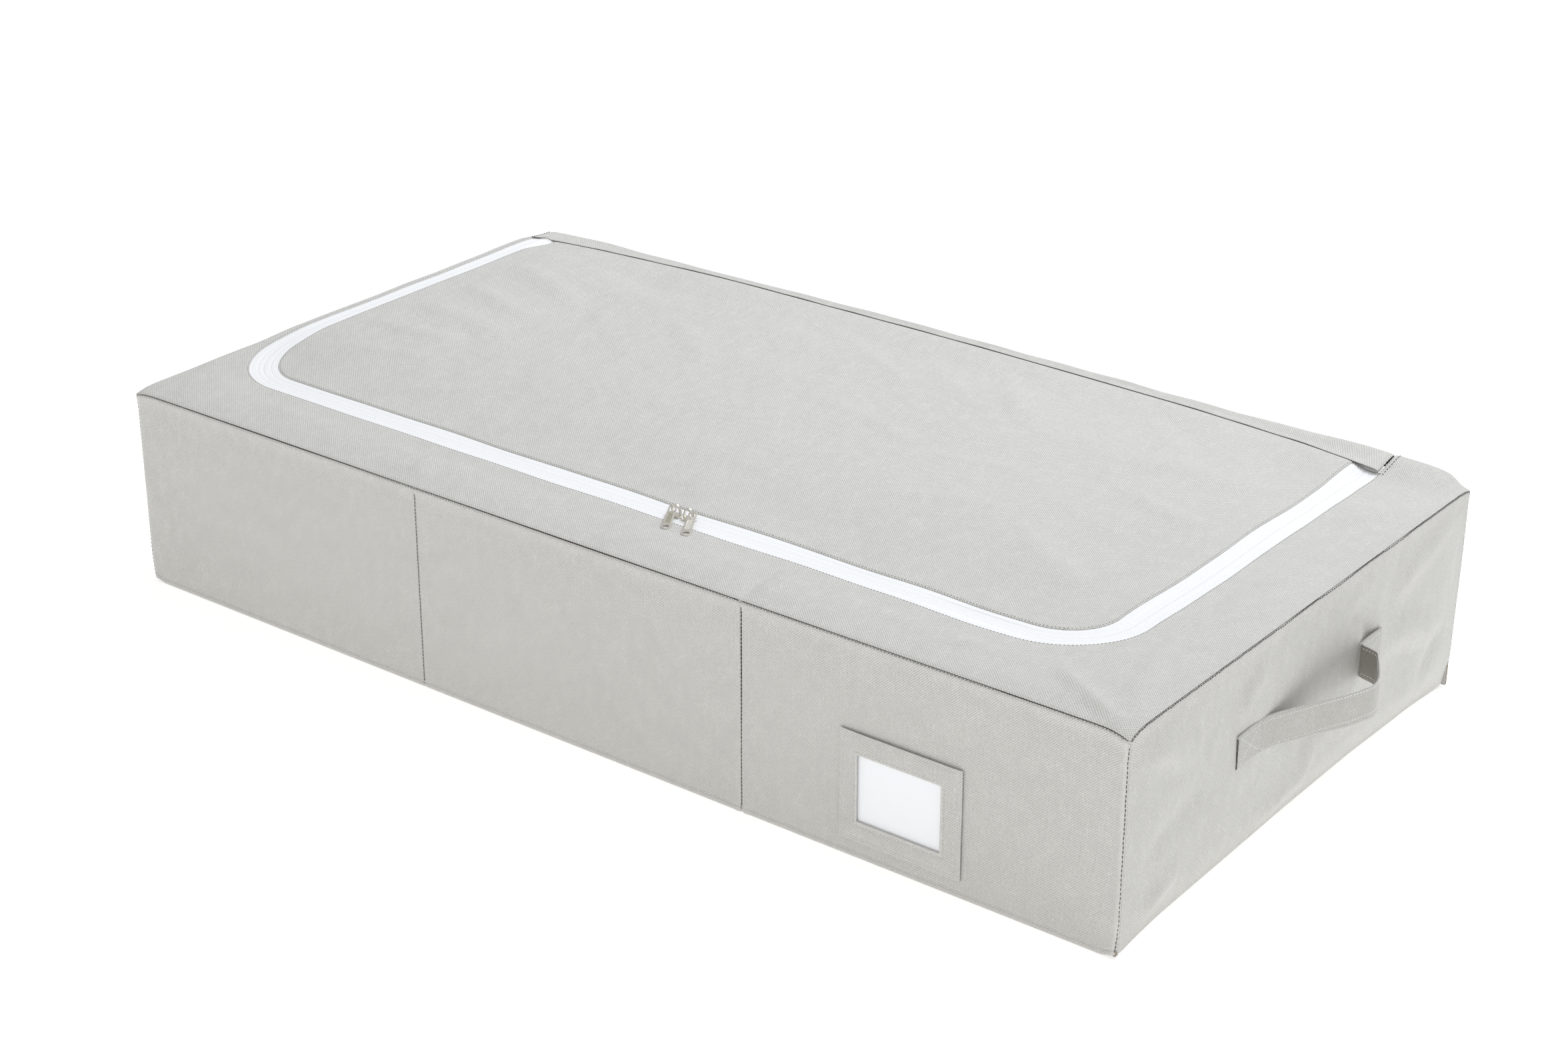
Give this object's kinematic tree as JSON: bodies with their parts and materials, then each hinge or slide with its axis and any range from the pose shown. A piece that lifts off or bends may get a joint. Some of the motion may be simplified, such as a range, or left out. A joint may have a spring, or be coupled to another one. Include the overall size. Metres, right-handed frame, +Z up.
{
  "type": "under bed box",
  "caption": "Long, low, soft-sided storage box with stiffened front, back and base, a zip-round lid flap, two carry straps and a label pocket.",
  "frame": {"origin": "on the floor under the middle of the box", "axes": "+X along the box towards its right end, -Y out of the front with the label pocket, +Z up"},
  "size_m": [1.0854, 0.5228, 0.1913],
  "materials": {
    "fabric_grey": "matte embossed non-woven",
    "lining": "matte embossed non-woven",
    "board": "matte grey board",
    "zip_tape": "white woven tape",
    "zip_coil": "white nylon coil",
    "nickel": "warm nickel plate",
    "clear_film": "clear flexible film",
    "card": "plain white card"
  },
  "bodies": {
    "box": {"front_panel": "fabric_grey", "front_board_left": "board", "front_board_middle": "board", "front_board_right": "board", "front_lining": "lining", "back_panel": "fabric_grey", "back_board_left": "board", "back_board_middle": "board", "back_board_right": "board", "back_lining": "lining", "left_side_panel": "fabric_grey", "right_side_panel": "fabric_grey", "base_panel": "fabric_grey", "base_board_left": "board", "base_board_middle": "board", "base_board_right": "board", "base_lining": "lining", "rim_panel": "fabric_grey", "back_strip": "fabric_grey", "rim_zip_tape": "zip_tape", "rim_zip_coil": "zip_coil", "left_zip_stop": "nickel", "right_zip_stop": "nickel", "left_handle_front_tab": "fabric_grey", "left_handle_back_tab": "fabric_grey", "right_handle_front_tab": "fabric_grey", "right_handle_back_tab": "fabric_grey", "label_pocket_frame": "fabric_grey", "label_window": "clear_film"},
    "lid": {"lid_panel": "fabric_grey", "lid_zip_tape": "zip_tape", "lid_zip_coil": "zip_coil"},
    "left_slider": {"left_slider_body": "nickel", "left_slider_crown": "nickel"},
    "right_slider": {"right_slider_body": "nickel", "right_slider_crown": "nickel"},
    "left_pull": {"left_pull_tab": "nickel"},
    "right_pull": {"right_pull_tab": "nickel"},
    "left_handle": {"left_handle_strap": "fabric_grey"},
    "right_handle": {"right_handle_strap": "fabric_grey"},
    "card": {"label_card": "card"}
  },
  "joints": [
    {"name": "lid_hinge", "type": "hinge", "parent": "box", "child": "lid", "pos_m": [0, 0.246, 0.1915], "axis": [-1, 0, 0], "range_deg": [0, 180]},
    {"name": "left_slider_run", "type": "slide", "parent": "lid", "child": "left_slider", "axis": [-1, 0, 0], "range_m": [0, 0.42]},
    {"name": "right_slider_run", "type": "slide", "parent": "lid", "child": "right_slider", "axis": [1, 0, 0], "range_m": [0, 0.3]},
    {"name": "left_pull_lift", "type": "hinge", "parent": "left_slider", "child": "left_pull", "pos_m": [0.0289, -0.174, 0.186], "axis": [-0.866, -0.5, 0], "range_deg": [0, 45]},
    {"name": "right_pull_lift", "type": "hinge", "parent": "right_slider", "child": "right_pull", "pos_m": [0.0491, -0.174, 0.186], "axis": [-0.866, -0.5, 0], "range_deg": [0, 45]},
    {"name": "left_handle_lift", "type": "hinge", "parent": "box", "child": "left_handle", "pos_m": [-0.5013, 0, 0.113], "axis": [0, 1, 0], "range_deg": [0, 80]},
    {"name": "right_handle_lift", "type": "hinge", "parent": "box", "child": "right_handle", "pos_m": [0.5013, 0, 0.113], "axis": [0, -1, 0], "range_deg": [0, 80]},
    {"name": "label_card_slide", "type": "slide", "parent": "box", "child": "card", "axis": [0, 0, 1], "range_m": [0, 0.075]}
  ]
}
